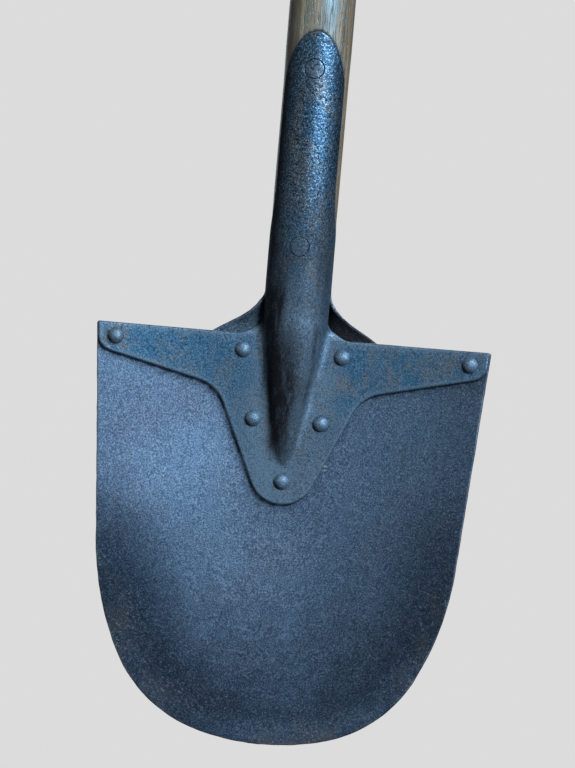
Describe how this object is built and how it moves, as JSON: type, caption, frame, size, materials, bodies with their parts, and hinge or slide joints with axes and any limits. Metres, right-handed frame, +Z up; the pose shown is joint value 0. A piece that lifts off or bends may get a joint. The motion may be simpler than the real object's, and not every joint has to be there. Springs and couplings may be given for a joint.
{
  "type": "camp shovel",
  "caption": "Short camp shovel: a dished round-nosed steel blade riveted between two straps that wrap a straight wooden shaft, with a wooden crossbar grip.",
  "frame": {"origin": "below the shaft's axis, at the level of the blade's tip: the centre of the underside of the upright tool's bounding box", "axes": "+Z up along the shaft from the blade's tip to the crossbar; -Y out of the blade's front, the hollow side; +X along the crossbar, to the right seen from the front"},
  "size_m": [0.1608, 0.032, 0.57],
  "materials": {
    "blade_steel": "blue-black, fine pebbled grain, semi-gloss, worn along the edge",
    "strap_steel": "blue-black forged skin, fine pits, semi-gloss",
    "rivet_steel": "blue-black, smooth domed heads",
    "shaft_wood": "weathered grey-brown ash, straight open grain, hand-polished",
    "grip_wood": "turned hardwood, hand-polished",
    "wedge_wood": "split hardwood, unfinished"
  },
  "bodies": {
    "root": {"blade": "blade_steel", "front_strap": "strap_steel", "back_strap": "strap_steel", "shaft": "shaft_wood", "grip_bar": "grip_wood", "grip_wedge": "wedge_wood", "grip_strap": "strap_steel", "bar_pin": "rivet_steel", "upper_grip_rivet": "rivet_steel", "lower_grip_rivet": "rivet_steel", "left_shoulder_rivet": "rivet_steel", "right_shoulder_rivet": "rivet_steel", "left_upper_rivet": "rivet_steel", "right_upper_rivet": "rivet_steel", "left_lower_rivet": "rivet_steel", "right_lower_rivet": "rivet_steel", "tongue_rivet": "rivet_steel", "upper_socket_rivet": "rivet_steel", "lower_socket_rivet": "rivet_steel"}
  },
  "joints": []
}
